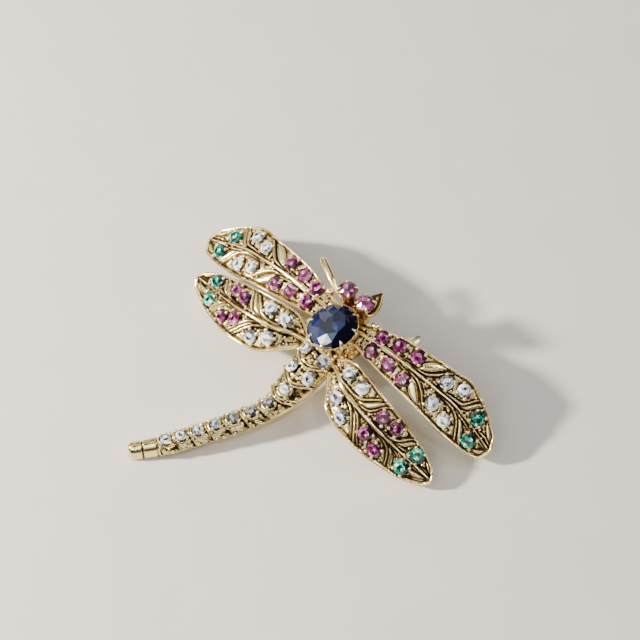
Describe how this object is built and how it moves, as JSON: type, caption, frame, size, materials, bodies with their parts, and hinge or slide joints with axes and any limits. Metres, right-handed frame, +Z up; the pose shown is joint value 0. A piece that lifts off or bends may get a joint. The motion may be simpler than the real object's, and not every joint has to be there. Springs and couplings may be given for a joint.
{
  "type": "dragonfly brooch",
  "caption": "Gold dragonfly brooch with veined wings set with round stones, an oval stone on the thorax, stone eyes, a bent segmented tail and a fastening pin on the back.",
  "frame": {"origin": "middle of the bounding box on the surface that the brooch rests on", "axes": "+X towards the brooch's right wing tips, +Y towards the head, +Z up through the oval stone"},
  "size_m": [0.0467, 0.034, 0.0113],
  "materials": {
    "gold": "polished",
    "pin_gold": "satin",
    "ruby": "polished",
    "emerald": "polished",
    "diamond": "polished",
    "sapphire": "polished"
  },
  "bodies": {
    "root": {"gold_body": "gold", "brooch_pin": "pin_gold", "sapphire": "sapphire", "abdomen_diamonds": "diamond", "eye_ruby_left": "ruby", "eye_ruby_right": "ruby", "front_wing_ruby_root_front_left": "ruby", "front_wing_ruby_root_rear_left": "ruby", "front_wing_ruby_middle_front_left": "ruby", "front_wing_ruby_middle_rear_left": "ruby", "front_wing_ruby_outer_front_left": "ruby", "front_wing_ruby_outer_rear_left": "ruby", "front_wing_ruby_root_front_right": "ruby", "front_wing_ruby_root_rear_right": "ruby", "front_wing_ruby_middle_front_right": "ruby", "front_wing_ruby_middle_rear_right": "ruby", "front_wing_ruby_outer_front_right": "ruby", "front_wing_ruby_outer_rear_right": "ruby", "rear_wing_ruby_inner_front_left": "ruby", "rear_wing_ruby_inner_rear_left": "ruby", "rear_wing_ruby_outer_front_left": "ruby", "rear_wing_ruby_outer_rear_left": "ruby", "rear_wing_ruby_inner_front_right": "ruby", "rear_wing_ruby_inner_rear_right": "ruby", "rear_wing_ruby_outer_front_right": "ruby", "rear_wing_ruby_outer_rear_right": "ruby", "front_wing_emerald_front_left": "emerald", "front_wing_emerald_rear_left": "emerald", "rear_wing_emerald_front_left": "emerald", "rear_wing_emerald_rear_left": "emerald", "front_wing_emerald_front_right": "emerald", "front_wing_emerald_rear_right": "emerald", "rear_wing_emerald_front_right": "emerald", "rear_wing_emerald_rear_right": "emerald", "front_wing_diamonds_left": "diamond", "rear_wing_diamonds_left": "diamond", "front_wing_diamonds_right": "diamond", "rear_wing_diamonds_right": "diamond"}
  },
  "joints": []
}
